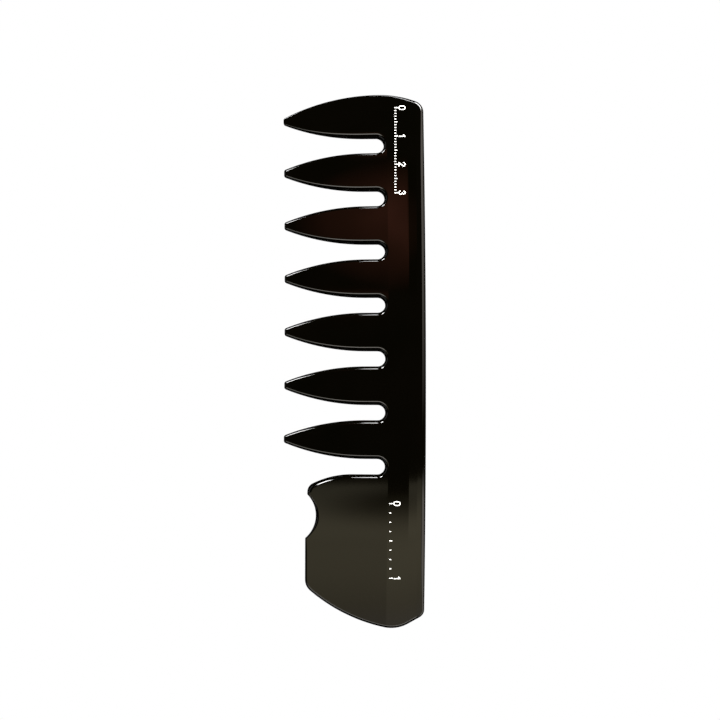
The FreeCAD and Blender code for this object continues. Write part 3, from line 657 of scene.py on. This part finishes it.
def stray_light(tree, where, axes, middle):
    """The weaker light of the scrim, which leaves out the shade of what the camera stands on."""
    shade_x, shade_y = SHADE_PLACE
    edge = SCRIM_DEPTH / 2
    centred = add(tree, "ShaderNodeMapping", {"Location": (-shade_x, middle.y - shade_y, 0)},
                  {"Vector": where})
    scaled = add(tree, "ShaderNodeMapping", {"Scale": (1 / SHADE_REACH[0], 1 / SHADE_REACH[1], 0)},
                 {"Vector": centred.outputs["Vector"]})
    apart = add(tree, "ShaderNodeVectorMath", links={0: scaled.outputs["Vector"]}, operation="LENGTH")
    around = add(tree, "ShaderNodeMapRange",
                 {"From Min": SHADE_EDGE[0], "From Max": SHADE_EDGE[1], "To Max": STRAY_LIGHT},
                 {"Value": apart.outputs["Value"]})
    ahead = add(tree, "ShaderNodeMath", {1: shade_x}, {0: axes.outputs["X"]}, operation="SUBTRACT")
    aside = add(tree, "ShaderNodeMath", links={0: ahead.outputs["Value"]}, operation="ABSOLUTE")
    beside = add(tree, "ShaderNodeMapRange", {"From Min": STEM_EDGE[0], "From Max": STEM_EDGE[1]},
                 {"Value": aside.outputs["Value"]}, interpolation_type="SMOOTHSTEP")
    behind = add(tree, "ShaderNodeMapRange",
                 {"From Min": edge - STRAY_EDGE[0], "From Max": edge - STRAY_EDGE[1]},
                 {"Value": axes.outputs["Y"]})
    both = add(tree, "ShaderNodeMath", links={0: around.outputs["Result"], 1: beside.outputs["Result"]},
               operation="MULTIPLY")
    power = add(tree, "ShaderNodeMath", links={0: both.outputs["Value"], 1: behind.outputs["Result"]},
                operation="MULTIPLY")
    return add(tree, "ShaderNodeEmission", {"Color": linear("#fff4d0")},
               {"Strength": power.outputs["Value"]})


def overhead_scrim():
    """Diffusing cloth above the camera on the handle's side, darker where the camera's stand shades it."""
    middle = Vector((0, SCRIM_EDGE - SCRIM_DEPTH / 2, SCRIM_HEIGHT))
    material, tree = new_material("scrim_cloth")
    where = add(tree, "ShaderNodeTexCoord").outputs["Object"]
    axes = add(tree, "ShaderNodeSeparateXYZ", links={"Vector": where})
    lights = [(SCRIM_DEPTH / 2 - setback, colour, strength) for setback, colour, strength in SCRIM_LIGHT]
    dimmed = add(tree, "ShaderNodeMapRange", {"From Min": DIM_PLACE, "From Max": FULL_PLACE,
                                              "To Min": DIM_SHARE * BRIGHTEST, "To Max": BRIGHTEST},
                 {"Value": axes.outputs["X"]})
    main = add(tree, "ShaderNodeEmission",
               links={"Color": light_across(tree, axes.outputs["Y"], SCRIM_DEPTH, lights),
                      "Strength": dimmed.outputs["Result"]})
    weak = stray_light(tree, where, axes, middle)
    total = add(tree, "ShaderNodeAddShader", links={0: main.outputs["Emission"], 1: weak.outputs["Emission"]})
    add(tree, "ShaderNodeOutputMaterial", links={"Surface": total.outputs["Shader"]})
    light_sheet("overhead_scrim", SCRIM_WIDTH, SCRIM_DEPTH, middle, (0, 0, 0), material)


def side_scrim():
    """Diffusing cloth that stands beside the comb's back, with a dark gap across its middle."""
    material, tree = new_material("side_scrim_cloth")
    where = add(tree, "ShaderNodeTexCoord").outputs["Object"]
    axes = add(tree, "ShaderNodeSeparateXYZ", links={"Vector": where})
    glow = add(tree, "ShaderNodeEmission", {"Strength": BRIGHTEST},
               {"Color": light_across(tree, axes.outputs["X"], SIDE_SCRIM_WIDTH, SIDE_LIGHT)})
    add(tree, "ShaderNodeOutputMaterial", links={"Surface": glow.outputs["Emission"]})
    place = (SIDE_SCRIM_PLACE, 0, SIDE_SCRIM_HEIGHT / 2 + SIDE_SCRIM_FOOT)
    upright = (math.radians(90), 0, math.radians(90))
    light_sheet("side_scrim", SIDE_SCRIM_WIDTH, SIDE_SCRIM_HEIGHT, place, upright, material)


def backdrop():
    """White all round where it is seen, and a dim grey room where it is only mirrored."""
    world = bpy.data.worlds.new("studio")
    bpy.context.scene.world = world
    world.use_nodes = True
    tree = world.node_tree
    tree.nodes.clear()
    seen = add(tree, "ShaderNodeLightPath")
    white = add(tree, "ShaderNodeBackground", {"Color": linear("#ffffff"), "Strength": 1.0})
    room = add(tree, "ShaderNodeBackground", {"Color": linear("#262626"), "Strength": 0.3})
    both = add(tree, "ShaderNodeMixShader", links={0: seen.outputs["Is Camera Ray"],
                                                   1: room.outputs["Background"],
                                                   2: white.outputs["Background"]})
    add(tree, "ShaderNodeOutputWorld", links={"Surface": both.outputs["Shader"]})


def studio():
    floor = (0, 0, -FLOOR_GAP)
    stage_sheet("floor", FLOOR_SIZE, FLOOR_SIZE, floor, facing(floor, (0, 0, 1)), paper_floor())
    overhead_scrim()
    side_scrim()
    for name, settings in WARM_REFLECTORS.items():
        warm_reflector(name, *settings)
    for name, settings in SOFTBOXES.items():
        softbox(name, *settings)
    backdrop()
    bpy.context.scene.view_settings.view_transform = "Standard"


def set_camera():
    """Over the printed face, leaning a little towards the handle."""
    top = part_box("comb")[1].z
    data = bpy.data.cameras.new("camera")
    data.lens = CAMERA_LENS
    data.sensor_width = CAMERA_SENSOR
    data.clip_start = CAMERA_NEAREST
    camera = bpy.data.objects.new("camera", data)
    away = Vector((0, -math.sin(CAMERA_LEAN), math.cos(CAMERA_LEAN)))
    camera.location = Vector((*CAMERA_TARGET, top)) + CAMERA_DISTANCE * away
    camera.rotation_euler = (CAMERA_LEAN, 0, CAMERA_ROLL)
    bpy.context.collection.objects.link(camera)
    bpy.context.scene.camera = camera


# ---------------------------------------------------------------- making it

set_camera()
studio()
comb = make_comb(moulded_abs())
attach(comb, "root")
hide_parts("comb")
ink = pad_print_ink()
for name in ("cm_scale_print", "inch_scale_print"):
    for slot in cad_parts[name].material_slots:
        slot.material = ink
